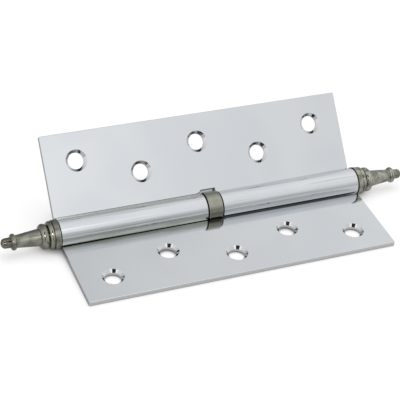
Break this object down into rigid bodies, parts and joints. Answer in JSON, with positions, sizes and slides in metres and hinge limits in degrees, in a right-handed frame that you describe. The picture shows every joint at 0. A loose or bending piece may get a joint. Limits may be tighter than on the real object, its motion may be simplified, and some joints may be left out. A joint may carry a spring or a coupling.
{
  "type": "butt hinge",
  "caption": "Lift-off butt hinge: two flat leaves with countersunk screw holes and rolled knuckles on one pin, a ring between them and turned finials.",
  "frame": {"origin": "middle of the frame leaf's back face, which seats on the door frame", "axes": "+X along the pin from the frame leaf's knuckle to the door leaf's, +Y from the frame leaf's outer edge towards the pin, +Z from its back face to its countersunk face"},
  "size_m": [0.1692, 0.0657, 0.0322],
  "materials": {
    "plated_sheet": "bright chrome plate",
    "nickelled_casting": "dull warm nickel plate, slightly cast",
    "pin_steel": "drawn steel"
  },
  "bodies": {
    "frame_side": {"frame_leaf": "plated_sheet", "hinge_pin": "pin_steel", "frame_finial": "nickelled_casting"},
    "ring": {"bearing_ring": "nickelled_casting"},
    "door_side": {"door_leaf": "plated_sheet", "door_finial": "nickelled_casting"}
  },
  "joints": [
    {"name": "swing", "type": "hinge", "parent": "frame_side", "child": "ring", "pos_m": [0, 0.02175, 0.004], "axis": [-1, 0, 0], "range_deg": [-132.5, 137.5]},
    {"name": "lift_off", "type": "slide", "parent": "ring", "child": "door_side", "axis": [1, 0, 0], "range_m": [0, 0.034]}
  ]
}
